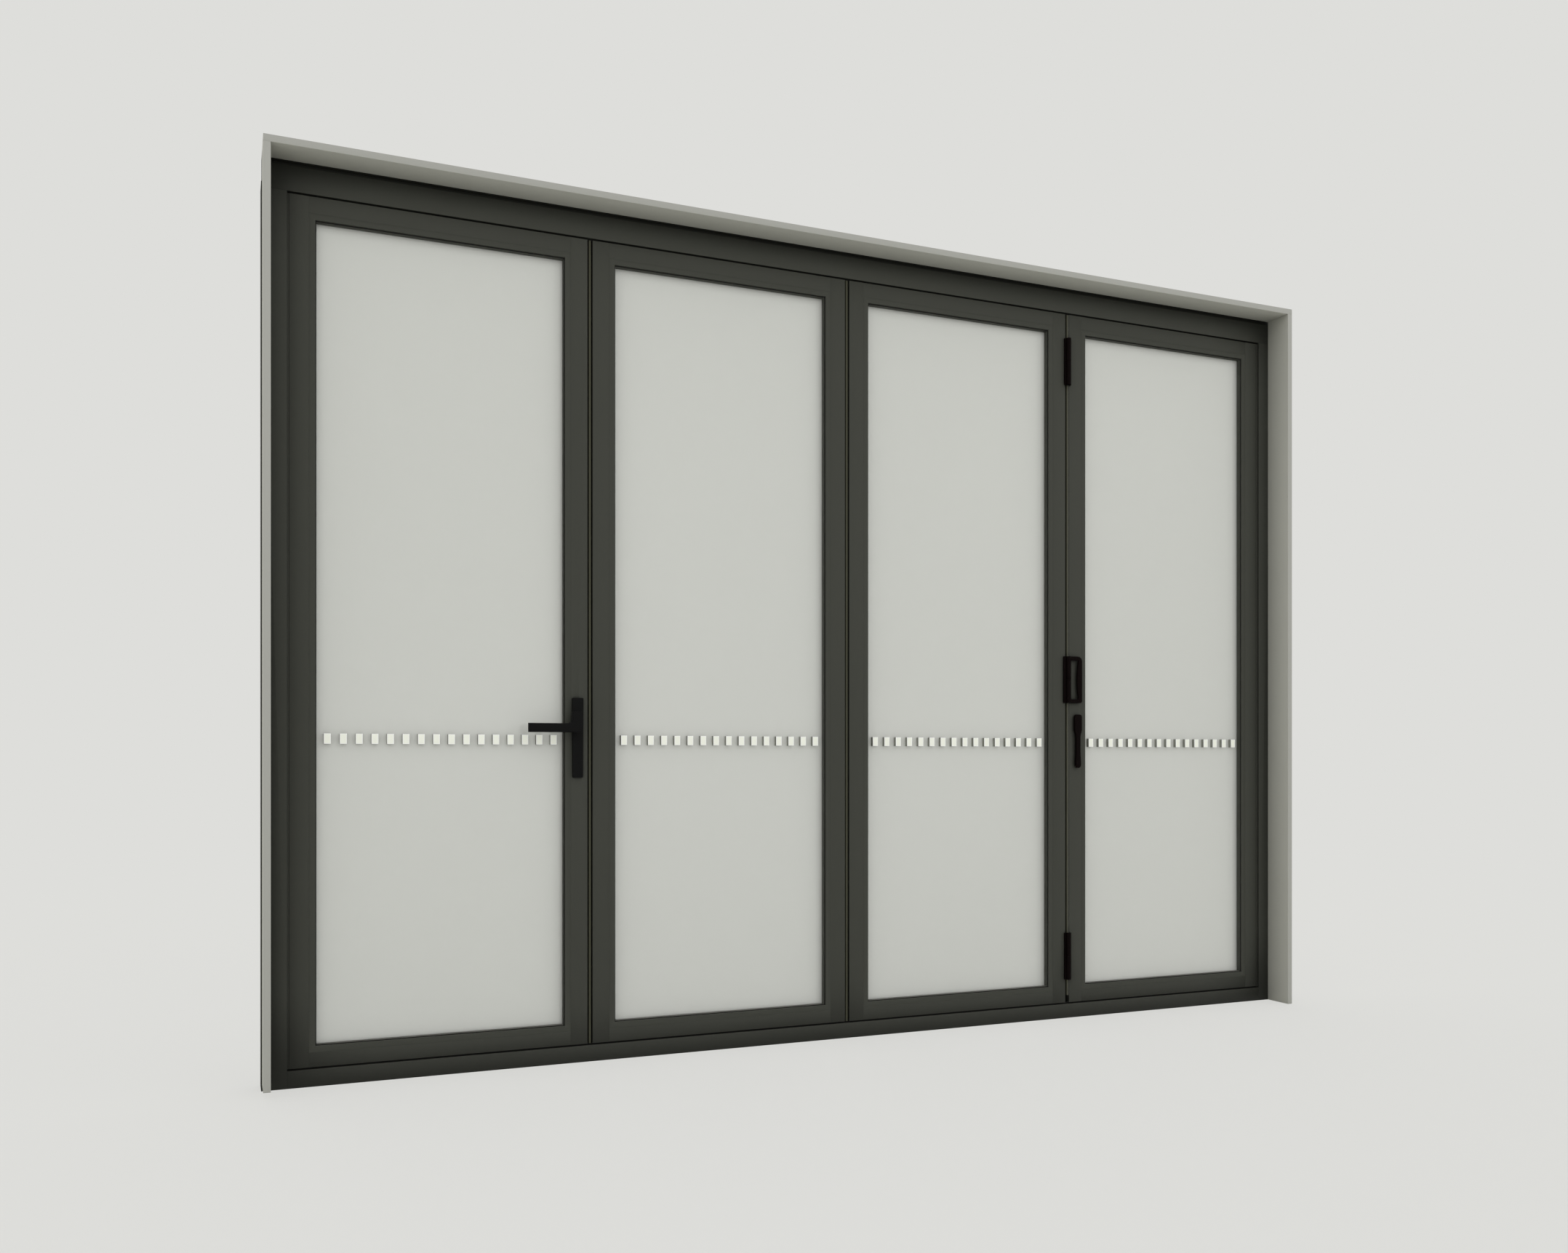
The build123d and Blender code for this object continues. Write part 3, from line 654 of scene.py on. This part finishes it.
def eased_copy(node, width, material, segments=2):
    """Stands a copy of a node in its place, with its corners merged and its edges rounded."""
    mesh = frame["nodes"][node].data.copy()
    piece = bpy.data.objects.new(f"{node}_eased", mesh)
    bpy.context.scene.collection.objects.link(piece)
    select_only(piece)
    bpy.ops.object.mode_set(mode="EDIT")
    bpy.ops.mesh.select_all(action="SELECT")
    bpy.ops.mesh.remove_doubles(threshold=MERGE)
    bpy.ops.mesh.dissolve_limited(angle_limit=FLAT_ANGLE)
    bpy.ops.object.mode_set(mode="OBJECT")
    apply_bevel(piece, width, segments)
    wear_material(piece, material)
    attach(piece, body_of_node(node))
    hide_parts(node)
    return piece


def dress_node(node, material):
    """Gives a CAD node its material."""
    wear_material(frame["nodes"][node], material)


# The pieces, with an operator for each group

class DOOR_OT_frame(bpy.types.Operator):
    """Coat the outer frame and the leaves, with eased edges"""

    bl_idname = "door.frame"
    bl_label = "Frame and leaves"

    def execute(self, context):
        ease = context.scene.door_sizes.profile_ease
        nodes = ["frame_head", "frame_sill", "frame_left_jamb", "frame_right_jamb"]
        for number in LEAVES:
            nodes += [f"leaf_{number}_stiles", f"leaf_{number}_rails"]
        for node in nodes:
            eased_copy(node, ease, coating())
        return {"FINISHED"}


def bead_frame(number, sizes):
    """A leaf's beads as one frame, with the step round the glass where the gasket lies."""
    low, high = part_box(f"leaf_{number}_beads")
    fit = Vector((sizes.bead_fit, 0, sizes.bead_fit))
    piece = add_block(f"leaf_{number}_bead_frame", low - fit, high + fit)
    middle = (low + high) / 2
    bpy.ops.object.mode_set(mode="EDIT")
    bpy.ops.mesh.select_mode(type="FACE")
    pick_faces(piece, lambda face: face.normal.y < -FACING)
    bpy.ops.mesh.inset(thickness=sizes.bead_fit + sizes.bead_width - sizes.gasket_width)
    bpy.ops.mesh.extrude_region_move(TRANSFORM_OT_translate={"value": (0, sizes.bead_step, 0)})
    bpy.ops.mesh.inset(thickness=sizes.gasket_width)
    pick_faces(piece, lambda face: face.normal.y > FACING)
    bpy.ops.mesh.inset(thickness=sizes.bead_fit + sizes.bead_width)

    def is_middle(face):
        """Whether a face is one of the two in the middle of the front and the back."""
        centre = face.calc_center_median()
        return abs(face.normal.y) > FACING and abs(centre.x - middle.x) + abs(centre.z - middle.z) < MM

    pick_faces(piece, is_middle)
    bpy.ops.mesh.bridge_edge_loops()
    bpy.ops.mesh.select_all(action="SELECT")
    bpy.ops.mesh.normals_make_consistent(inside=False)
    bpy.ops.object.mode_set(mode="OBJECT")
    apply_bevel(piece, sizes.profile_ease)
    return piece


class DOOR_OT_beads(bpy.types.Operator):
    """Clip the glazing beads round the glass"""

    bl_idname = "door.beads"
    bl_label = "Glazing beads"

    def execute(self, context):
        sizes = context.scene.door_sizes
        for number in LEAVES:
            node = f"leaf_{number}_beads"
            piece = bead_frame(number, sizes)
            wear_material(piece, coating("bead_coat", painted_shade=(0.02, 0.4)))
            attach(piece, body_of_node(node))
            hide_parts(node)
        return {"FINISHED"}


class DOOR_OT_lining(bpy.types.Operator):
    """Paint the three lining boards, lighter on the shaded inner faces than on the lit fronts as painted
    light, and lay a black strip of painted shade under the head board
    """

    bl_idname = "door.lining"
    bl_label = "Lining boards"

    def execute(self, context):
        sizes = context.scene.door_sizes
        colours = context.scene.door_colours
        for side in ("left", "head", "right"):
            paint = lining_paint("lining_paint", colours.lining)
            board = eased_copy(f"lining_{side}", sizes.board_ease, paint)
            # the lit fronts get the darker colour and the shaded inner faces the lighter one: painted light
            board.data.materials.append(lining_paint("lining_lit_front_paint", colours.lining_lit_front))
            assign_faces(board, 1, lambda face: face.normal.y < -FACING)
        # A black strip along the soffit's corner with the head: painted shade, standing in for the dark line
        # of shade there.
        _, left_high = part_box("lining_left")
        right_low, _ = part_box("lining_right")
        board_low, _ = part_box("lining_head")
        head_low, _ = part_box("frame_head")
        low = (left_high.x, head_low.y - sizes.shade_line_depth, board_low.z - sizes.shade_line_width)
        high = (right_low.x - sizes.shade_line_end, head_low.y, board_low.z)
        shade_line = add_block("head_shade_line", low, high)
        apply_bevel(shade_line, sizes.shade_line_depth * SOFT_EDGE)
        wear_material(shade_line, rubber("gasket_rubber", colours.gasket_and_shade))
        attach(shade_line, body_of_node("lining_head"))
        return {"FINISHED"}


def opening_of_leaf(number, sizes):
    """The clear opening inside a leaf's beads, as low and high values of X and Z."""
    low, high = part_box(f"leaf_{number}_beads")
    width = sizes.bead_width
    return (low.x + width, high.x - width), (low.z + width, high.z - width)


def flat_ring(name, x, z, y, width, depth):
    """A ring of a width and depth, from a plane that is inset, opened and thickened."""
    bpy.ops.object.select_all(action="DESELECT")
    middle = ((x[0] + x[1]) / 2, y, (z[0] + z[1]) / 2)
    bpy.ops.mesh.primitive_plane_add(size=1, location=middle, rotation=(math.radians(90), 0, 0))
    ring = bpy.context.object
    ring.name = name
    ring.scale = (x[1] - x[0], z[1] - z[0], 1)
    settle(ring)
    bpy.ops.object.mode_set(mode="EDIT")
    bpy.ops.mesh.select_all(action="SELECT")
    bpy.ops.mesh.inset(thickness=width)
    bpy.ops.mesh.delete(type="FACE")
    bpy.ops.object.mode_set(mode="OBJECT")
    thick = ring.modifiers.new("thick", "SOLIDIFY")
    thick.thickness = depth
    thick.offset = 0.0
    bpy.ops.object.modifier_apply(modifier=thick.name)
    apply_bevel(ring, min(width, depth) * SOFT_EDGE)
    return ring


def add_panes(number, ease, inner, outer):
    """The two panes of a leaf's unit, each with its edges ground smooth."""
    node = f"leaf_{number}_glass"
    low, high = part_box(node)
    spacer_low, spacer_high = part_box(f"leaf_{number}_spacer")
    depths = ((low.y, spacer_low.y), (spacer_high.y, high.y))
    for side, depth, material in zip(("inner", "outer"), depths, (inner, outer)):
        pane = add_block(f"leaf_{number}_{side}_pane", (low.x, depth[0], low.z), (high.x, depth[1], high.z))
        apply_bevel(pane, ease, segments=1, smooth=False)
        wear_material(pane, material)
        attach(pane, body_of_node(node))
        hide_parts(node)


class DOOR_OT_glazing(bpy.types.Operator):
    """Give the leaves their glass, spacers and gaskets"""

    bl_idname = "door.glazing"
    bl_label = "Glazing"

    def execute(self, context):
        sizes = context.scene.door_sizes
        colours = context.scene.door_colours
        inner = glass_material("inner_glass", colours.glass, colours.clearness, colours.inner_shade)
        outer = glass_material("outer_glass", colours.outer_glass, colours.clearness, colours.outer_shade)
        for number in LEAVES:
            add_panes(number, sizes.pane_ease, inner, outer)
            dress_node(f"leaf_{number}_spacer", spacer_metal())
            x, z = opening_of_leaf(number, sizes)
            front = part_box(f"leaf_{number}_beads")[0].y
            y = front + sizes.bead_step - sizes.gasket_rise / 2
            grown_x = (x[0] - sizes.gasket_width, x[1] + sizes.gasket_width)
            grown_z = (z[0] - sizes.gasket_width, z[1] + sizes.gasket_width)
            # The black ring in the bead's step is a rubber gasket and also painted shade: it deepens the
            # dark line that the step's shade makes round the glass.
            ring = flat_ring(f"leaf_{number}_gasket", grown_x, grown_z, y, sizes.gasket_width,
                             sizes.gasket_rise)
            wear_material(ring, rubber("gasket_rubber", colours.gasket_and_shade))
            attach(ring, body_of_node(f"leaf_{number}_glass"))
        return {"FINISHED"}


def marker_tab(name, low, high, sizes):
    """A block with a plastic face: its sides are painted dark as painted shade, and a light border round its
    face is a painted highlight.
    """
    colours = bpy.context.scene.door_colours
    tab = add_block(name, low, high)
    # the sides take painted shade and the rim a painted highlight
    parts = {"side": colours.marker_side, "rim": colours.marker_rim, "face": colours.marker}
    for part, base in parts.items():
        tab.data.materials.append(marker_plastic(f"marker_{part}", base))
    bpy.ops.object.mode_set(mode="EDIT")
    bpy.ops.mesh.select_mode(type="FACE")
    pick_faces(tab, lambda face: face.normal.y < -FACING)
    tab.active_material_index = 1
    bpy.ops.object.material_slot_assign()
    bpy.ops.mesh.inset(thickness=sizes.marker_rim)
    tab.active_material_index = 2
    bpy.ops.object.material_slot_assign()
    bpy.ops.object.mode_set(mode="OBJECT")
    apply_bevel(tab, sizes.marker_ease)
    return tab


def marker_row(node, name, sizes):
    """A tab for each one in a CAD node, joined into one piece."""
    places = loose_boxes(node)
    if not places:
        raise RuntimeError(f"{node} has no tabs to copy")
    low, high = places[0]
    first = marker_tab(name, low, high, sizes)
    tabs = [first]
    for place_low, _ in places[1:]:
        tabs.append(copy_to(first, place_low - low))
    return join_pieces(tabs, name)


class DOOR_OT_markers(bpy.types.Operator):
    """Stand bordered tabs on the glass in place of the plain ones"""

    bl_idname = "door.markers"
    bl_label = "Markers"

    def execute(self, context):
        sizes = context.scene.door_sizes
        for node in ("door_markers", "stack_markers"):
            row = marker_row(node, f"{node}_row", sizes)
            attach(row, body_of_node(node))
            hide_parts(node)
        return {"FINISHED"}


def meeting_strip(name, low, high, is_fold, sizes):
    """Two lips that meet in a fine line, with the web behind that holds them."""
    back = low.y + sizes.strip_depth
    start = low.x + (sizes.fold_shift if is_fold else 0)
    end = high.x - sizes.edge_strip_width if is_fold else low.x + sizes.strip_width
    middle = (start + end) / 2
    half = add_block(name, (start, low.y, low.z), (middle, back, high.z))
    apply_bevel(half, sizes.strip_ease)
    other = copy_to(half, (middle - start, 0, 0))
    web = add_block(f"{name}_web", (start, back, low.z), high)
    apply_bevel(web, sizes.seal_clearance)
    return join_pieces([half, other, web], name)


def door_height():
    """The height of a leaf."""
    low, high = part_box("leaf_1_stiles")
    return high.z - low.z


def side_lips(sizes):
    """The lips in the gaps beside the first and the last leaf, nearly level with the leaves' faces."""
    door_low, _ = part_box("leaf_1_stiles")
    _, stack_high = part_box("leaf_4_stiles")
    seal_low, seal_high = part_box("frame_seals")
    front = door_low.y + sizes.lip_recess
    depth = (front, front + sizes.lip_depth)
    gaps = {
        "door_side_lip": (seal_low.x, door_low.x - sizes.seal_clearance),
        "stack_side_lip": (stack_high.x + sizes.edge_strip_width, seal_high.x - sizes.edge_strip_width),
    }
    lips = []
    for name, x in gaps.items():
        lip = add_block(name, (x[0], depth[0], door_low.z), (x[1], depth[1], door_low.z + door_height()))
        apply_bevel(lip, sizes.seal_clearance)
        lips.append(lip)
    return lips


def rear_lips(place, strip_back, sizes):
    """Two soft lips that close a joint behind its strip and near the outdoor face."""
    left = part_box(f"leaf_{place}_stiles")[1]
    right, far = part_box(f"leaf_{place + 1}_stiles")
    x = (left.x + sizes.seal_clearance, right.x)
    z = (right.z - sizes.lip_drop, left.z)
    backs = (strip_back, far.y - sizes.lip_recess)
    lips = []
    for back in backs:
        front = back - sizes.lip_thickness
        lip = add_block(f"joint_{place}_rear_lip", (x[0], front, z[0]), (x[1], back, z[1]))
        apply_bevel(lip, sizes.seal_clearance)
        lips.append(lip)
    return join_pieces(lips, f"joint_{place}_rear_lip")


class DOOR_OT_seals(bpy.types.Operator):
    """Stand the strips, lips and seals in the joints"""

    bl_idname = "door.seals"
    bl_label = "Seals"

    def execute(self, context):
        sizes = context.scene.door_sizes
        colours = context.scene.door_colours
        olive = rubber("seal_rubber", colours.seal)
        black = rubber("gasket_rubber", colours.gasket_and_shade)
        joints = loose_boxes("meeting_seals")
        if len(joints) != len(LEAVES) - 1:
            raise RuntimeError("the meeting seals don't stand one to a joint")
        for place, (low, high) in enumerate(joints, 1):
            is_fold = place == len(joints)
            strips = meeting_strip(f"joint_{place}_strip", low, high, is_fold, sizes)
            self.fit(strips, olive)
            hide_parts("meeting_seals")
            self.fit(rear_lips(place, high.y, sizes), black)
        low, high = joints[-1]
        # A light strip beside the fold's seal: a painted highlight.
        edge = add_block("fold_highlight_strip", (high.x - sizes.edge_strip_width, low.y, low.z),
                         (high.x, low.y + sizes.strip_depth, high.z))
        apply_bevel(edge, sizes.seal_clearance)
        self.fit(edge, fold_highlight_finish())
        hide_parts("meeting_seals")
        eased_copy("frame_seals", sizes.seal_clearance, black)
        for lip in side_lips(sizes):
            self.fit(lip, coating())
        return {"FINISHED"}

    def fit(self, piece, material):
        """Fixes a strip to the frame."""
        wear_material(piece, material)
        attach(piece, body_of_node("meeting_seals"))


def pull_hinge_cover(sizes):
    """A straight plate over the pull hinge's flag, as tall as the handle that swings beside it."""
    hinge_low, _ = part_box("pull_hinge")
    handle_low, handle_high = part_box("pull_handle")
    leaf_low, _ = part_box("leaf_3_stiles")
    low = (hinge_low.x - sizes.cover_reach, leaf_low.y - sizes.cover_depth, handle_low.z)
    high = (handle_low.x - sizes.seal_clearance, leaf_low.y, handle_high.z)
    cover = add_block("pull_hinge_cover", low, high)
    apply_bevel(cover, sizes.hinge_ease)
    return cover


class DOOR_OT_hinges(bpy.types.Operator):
    """Finish the hinges, their cover, the carriage and the guide"""

    bl_idname = "door.hinges"
    bl_label = "Hinges and running gear"

    def execute(self, context):
        ease = context.scene.door_sizes.hinge_ease
        door_halves = ("door_hinge_frame_halves", "door_hinge_leaf_halves")
        for node in (*door_halves, "stack_hinges", "fold_hinges", "pull_hinge"):
            eased_copy(node, ease, hinge_coat())
        cover = pull_hinge_cover(context.scene.door_sizes)
        wear_material(cover, hinge_coat())
        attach(cover, body_of_node("pull_hinge"))
        for node in ("top_carriage", "bottom_guide"):
            dress_node(node, zinc())
        return {"FINISHED"}


class DOOR_OT_handles(bpy.types.Operator):
    """Finish the lever set, the pull handle and the bolt handle"""

    bl_idname = "door.handles"
    bl_label = "Handles"

    def execute(self, context):
        ease = context.scene.door_sizes.handle_ease
        for node in ("inside_lever", "outside_lever", "lever_plates"):
            eased_copy(node, ease, lever_coat(), segments=3)
        for node in ("pull_handle", "bolt_handle", "bolt_handle_base"):
            eased_copy(node, ease, hinge_coat(), segments=3)
        dress_node("lever_spindle", zinc())
        return {"FINISHED"}


def seeing_rays(tree):
    """A mask of the rays that see a thing: from the camera, off a gloss or through glass."""
    path = tree.nodes.new("ShaderNodeLightPath")
    seen = math_node(tree, "ADD", path.outputs["Is Camera Ray"], path.outputs["Is Glossy Ray"])
    return math_node(tree, "ADD", seen, path.outputs["Is Transmission Ray"], clamp=True)


def stage_floor(settings):
    """A pale floor that takes the object's shadow and fades into the backdrop far away."""
    bpy.ops.object.select_all(action="DESELECT")
    bpy.ops.mesh.primitive_plane_add(size=settings.floor_size, location=(0, 0, 0))
    floor = bpy.context.object
    floor.name = "floor"
    material = bpy.data.materials.new("pale_floor")
    material.use_nodes = True
    tree = material.node_tree
    shader = tree.nodes["Principled BSDF"]
    shader.inputs["Base Color"].default_value = opaque(settings.floor)
    shader.inputs["Roughness"].default_value = FLOOR_ROUGHNESS
    shader.inputs["Specular IOR Level"].default_value = 0.0
    glow = tree.nodes.new("ShaderNodeEmission")
    glow.inputs["Color"].default_value = opaque(settings.backdrop)
    place = tree.nodes.new("ShaderNodeTexCoord")
    span = tree.nodes.new("ShaderNodeVectorMath")
    span.operation = "LENGTH"
    tree.links.new(place.outputs["Object"], span.inputs[0])
    smooth = {"interpolation_type": "SMOOTHSTEP"}
    fade = add_node(tree, "ShaderNodeMapRange", smooth, Value=span.outputs["Value"])
    fade.inputs["From Min"].default_value = settings.fade_start
    fade.inputs["From Max"].default_value = settings.fade_end
    fade.inputs["To Min"].default_value = settings.floor_glow
    mask = math_node(tree, "MULTIPLY", seeing_rays(tree), fade.outputs["Result"])
    mix = tree.nodes.new("ShaderNodeMixShader")
    tree.links.new(mask, mix.inputs["Fac"])
    tree.links.new(shader.outputs["BSDF"], mix.inputs[1])
    tree.links.new(glow.outputs["Emission"], mix.inputs[2])
    tree.links.new(mix.outputs["Shader"], tree.nodes["Material Output"].inputs["Surface"])
    wear_material(floor, material)


def stage_world(settings):
    """Even light from all round, and the backdrop's colour where the camera looks past the object."""
    world = bpy.data.worlds.new("studio")
    bpy.context.scene.world = world
    world.use_nodes = True
    tree = world.node_tree
    light = tree.nodes["Background"]
    light.inputs["Color"].default_value = SKY_COLOUR
    light.inputs["Strength"].default_value = settings.sky
    back = tree.nodes.new("ShaderNodeBackground")
    back.inputs["Color"].default_value = opaque(settings.backdrop)
    back.inputs["Strength"].default_value = 1.0
    mix = tree.nodes.new("ShaderNodeMixShader")
    tree.links.new(seeing_rays(tree), mix.inputs["Fac"])
    tree.links.new(light.outputs["Background"], mix.inputs[1])
    tree.links.new(back.outputs["Background"], mix.inputs[2])
    tree.links.new(mix.outputs["Shader"], tree.nodes["World Output"].inputs["Surface"])


def add_lamp(name, strength, spread, direction):
    """A distant lamp that looks broad, so that its shadows are soft and it lights evenly."""
    lamp = bpy.data.lights.new(name, "SUN")
    lamp.energy = strength
    lamp.angle = spread
    holder = bpy.data.objects.new(name, lamp)
    bpy.context.scene.collection.objects.link(holder)
    holder.rotation_euler = Vector(direction).to_track_quat("-Z", "Y").to_euler()
    holder.visible_glossy = False
    holder.visible_transmission = False


class DOOR_OT_stage(bpy.types.Operator):
    """Add the floor, the light and the camera"""

    bl_idname = "door.stage"
    bl_label = "Stage"

    def execute(self, context):
        settings = context.scene.door_stage
        stage_floor(settings)
        stage_world(settings)
        across, along, down = settings.lamp_direction
        add_lamp("room_lamp", settings.lamp_strength, settings.lamp_spread, (across, along, down))
        add_lamp("outdoor_lamp", settings.lamp_strength, settings.lamp_spread, (-across, -along, down))
        camera = bpy.data.cameras.new("camera")
        camera.sensor_width = settings.sensor
        camera.lens = settings.lens
        camera.shift_y = settings.rise
        camera.clip_end = settings.view_end
        holder = bpy.data.objects.new("camera", camera)
        context.scene.collection.objects.link(holder)
        holder.location = (settings.camera_x, settings.camera_y, settings.camera_height)
        holder.rotation_euler = (math.radians(90), 0, -settings.camera_turn)
        context.scene.camera = holder
        context.scene.view_settings.view_transform = "Standard"
        return {"FINISHED"}


OPERATORS = (
    DOOR_OT_frame,
    DOOR_OT_beads,
    DOOR_OT_lining,
    DOOR_OT_glazing,
    DOOR_OT_markers,
    DOOR_OT_seals,
    DOOR_OT_hinges,
    DOOR_OT_handles,
    DOOR_OT_stage,
)


class DOOR_PT_panel(bpy.types.Panel):
    """The door's settings and its operators"""

    bl_idname = "DOOR_PT_panel"
    bl_label = "Patio Door"
    bl_space_type = "VIEW_3D"
    bl_region_type = "UI"
    bl_category = "Patio Door"

    def draw(self, context):
        layout = self.layout
        for settings in (context.scene.door_sizes, context.scene.door_colours, context.scene.door_stage):
            box = layout.box()
            for key in settings.__annotations__:
                box.prop(settings, key)
        for operator in OPERATORS:
            layout.operator(operator.bl_idname)


CLASSES = (DoorSizes, DoorColours, StageSettings, *OPERATORS, DOOR_PT_panel)


def register():
    """Registers the classes and hangs the settings on the scene."""
    for cls in CLASSES:
        bpy.utils.register_class(cls)
    bpy.types.Scene.door_sizes = bpy.props.PointerProperty(type=DoorSizes)
    bpy.types.Scene.door_colours = bpy.props.PointerProperty(type=DoorColours)
    bpy.types.Scene.door_stage = bpy.props.PointerProperty(type=StageSettings)


def unregister():
    """Takes the settings and the classes away again."""
    del bpy.types.Scene.door_sizes
    del bpy.types.Scene.door_colours
    del bpy.types.Scene.door_stage
    for cls in reversed(CLASSES):
        bpy.utils.unregister_class(cls)


def main():
    """Dresses the door, piece by piece."""
    register()
    bpy.ops.door.stage()
    bpy.ops.door.frame()
    bpy.ops.door.beads()
    bpy.ops.door.lining()
    bpy.ops.door.glazing()
    bpy.ops.door.markers()
    bpy.ops.door.seals()
    bpy.ops.door.hinges()
    bpy.ops.door.handles()


if __name__ == "__main__":
    main()
